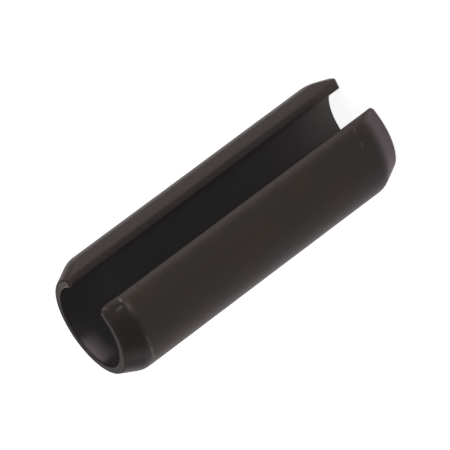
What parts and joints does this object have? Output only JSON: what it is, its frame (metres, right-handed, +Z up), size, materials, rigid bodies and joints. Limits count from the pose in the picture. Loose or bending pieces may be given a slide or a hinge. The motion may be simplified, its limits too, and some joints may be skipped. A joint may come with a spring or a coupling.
{
  "type": "slotted spring pin",
  "caption": "Hollow spring steel pin rolled from strip, with a straight open slot along its length and chamfered ends.",
  "frame": {"origin": "on the pin's axis, in the plane of the lower end face, on which it stands", "axes": "+Z up along the pin's axis; the slot opens towards -Y"},
  "size_m": [0.0126, 0.0115, 0.035],
  "materials": {
    "black_oxide_steel": "hardened spring steel, black oxide with a thin oil film, satin"
  },
  "bodies": {
    "root": {"spring_pin": "black_oxide_steel"}
  },
  "joints": []
}
